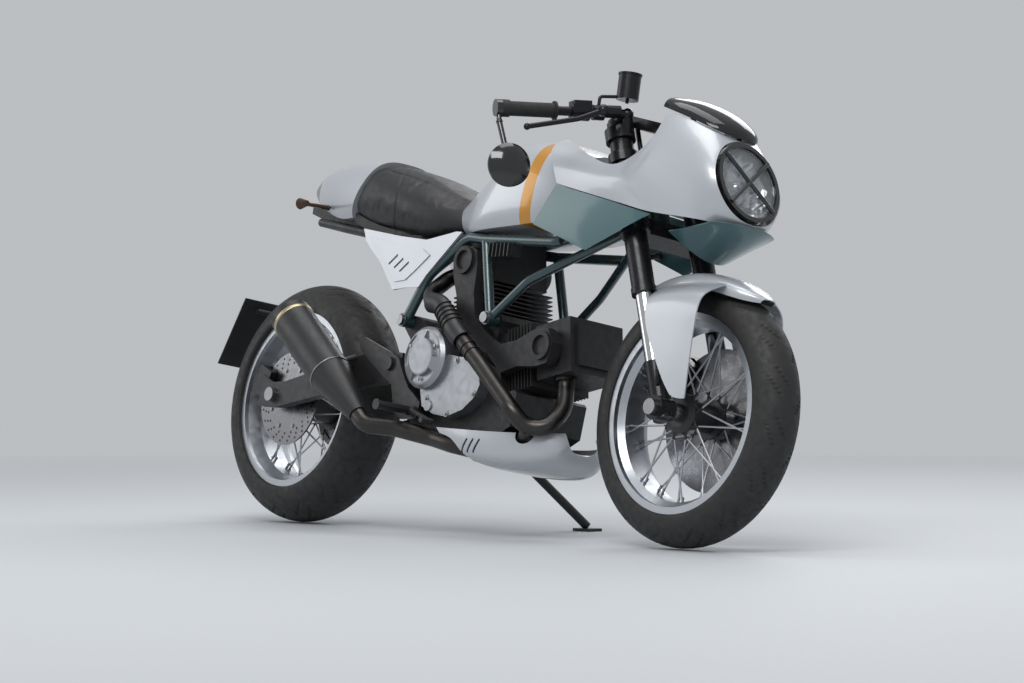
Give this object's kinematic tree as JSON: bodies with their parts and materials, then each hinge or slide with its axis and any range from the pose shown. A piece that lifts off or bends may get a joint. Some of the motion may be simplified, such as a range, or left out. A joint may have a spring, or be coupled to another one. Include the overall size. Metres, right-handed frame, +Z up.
{
  "type": "cafe racer motorcycle",
  "caption": "Cafe racer motorcycle with a half fairing, wire wheels, V engine, trellis frame and single seat, parked on its side stand; it steers and its wheels turn.",
  "frame": {"origin": "on the ground, under the middle of the leaning motorcycle's box", "axes": "+X forward, +Y to the rider's left, +Z up; the motorcycle leans to its left on its side stand"},
  "size_m": [2.0789, 0.8802, 1.0857],
  "materials": {
    "silver_paint": "gloss silver metallic",
    "chain_steel": "oiled",
    "plastic_black": "matt black",
    "cast_silver": "cast, satin",
    "engine_black": "wrinkle black",
    "steel": "brushed",
    "header": "heat-stained dark steel",
    "dark_metal": "satin black",
    "polished": "polished",
    "silver_rim": "satin silver anodised",
    "tyre": "matt black rubber tread",
    "rubber_black": "matt black",
    "gloss_black": "gloss black",
    "lens": "clear",
    "muffler_black": "satin black",
    "gold_ring": "pale gold anodised",
    "amber_lens": "gloss amber",
    "seat_black": "matt black, stitched",
    "teal_paint": "gloss grey-teal",
    "red_lens": "gloss red",
    "screen": "dark tinted"
  },
  "bodies": {
    "chassis": {"belly_pan": "silver_paint", "chain": "chain_steel", "chin_cowl": "plastic_black", "clutch_cover": "cast_silver", "crankcase": "engine_black", "engine_bolts": "steel", "engine_covers": "engine_black", "exhaust_pipes": "header", "fairing_stays": "dark_metal", "footpegs": "dark_metal", "frame": "silver_paint", "front_cylinder": "engine_black", "front_sprocket": "steel", "fuel_tank": "silver_paint", "headlight": "gloss_black", "headlight_lens": "lens", "heat_shield": "dark_metal", "muffler": "muffler_black", "muffler_cap": "gold_ring", "nose_fairing": "silver_paint", "plate_holder": "dark_metal", "rear_axle": "steel", "rear_caliper": "dark_metal", "rear_cylinder": "engine_black", "rear_indicators": "amber_lens", "regulator": "dark_metal", "seat": "seat_black", "seat_cowl": "silver_paint", "seat_tray": "plastic_black", "shock": "steel", "side_covers": "silver_paint", "side_fairing": "teal_paint", "side_plates": "dark_metal", "stand_bracket": "dark_metal", "subframe": "dark_metal", "swingarm": "dark_metal", "tail_light": "red_lens", "windscreen": "screen"},
    "steering": {"controls": "plastic_black", "fork_bottoms": "dark_metal", "fork_outers": "dark_metal", "fork_stanchions": "polished", "front_axle": "steel", "front_caliper": "dark_metal", "front_fender": "silver_paint", "grips": "rubber_black", "handlebars": "dark_metal", "instrument": "plastic_black", "mirrors": "gloss_black", "triple_clamps": "dark_metal"},
    "front_wheel": {"front_disc": "steel", "front_hub": "dark_metal", "front_rim": "silver_rim", "front_tyre": "tyre"},
    "rear_wheel": {"rear_disc": "steel", "rear_hub": "dark_metal", "rear_rim": "silver_rim", "rear_sprocket": "steel", "rear_tyre": "tyre"},
    "stand": {"side_stand": "dark_metal"}
  },
  "joints": [
    {"name": "steering", "type": "hinge", "parent": "chassis", "child": "steering", "pos_m": [0.57704, -0.02527, 0.64194], "axis": [-0.3714, 0.1568, 0.9152], "range_deg": [-28, 28]},
    {"name": "front_wheel_spin", "type": "hinge", "parent": "steering", "child": "front_wheel", "pos_m": [0.743, -0.08443, 0.29656], "axis": [0, 0.9856, -0.1688], "continuous": true},
    {"name": "rear_wheel_spin", "type": "hinge", "parent": "chassis", "child": "rear_wheel", "pos_m": [-0.693, -0.08182, 0.31181], "axis": [0, 0.9856, -0.1688], "continuous": true},
    {"name": "side_stand", "type": "hinge", "parent": "chassis", "child": "stand", "pos_m": [-0.003, 0.0376, 0.17975], "axis": [0.0272, 0.7254, 0.6878], "range_deg": [0, 93.3]}
  ]
}
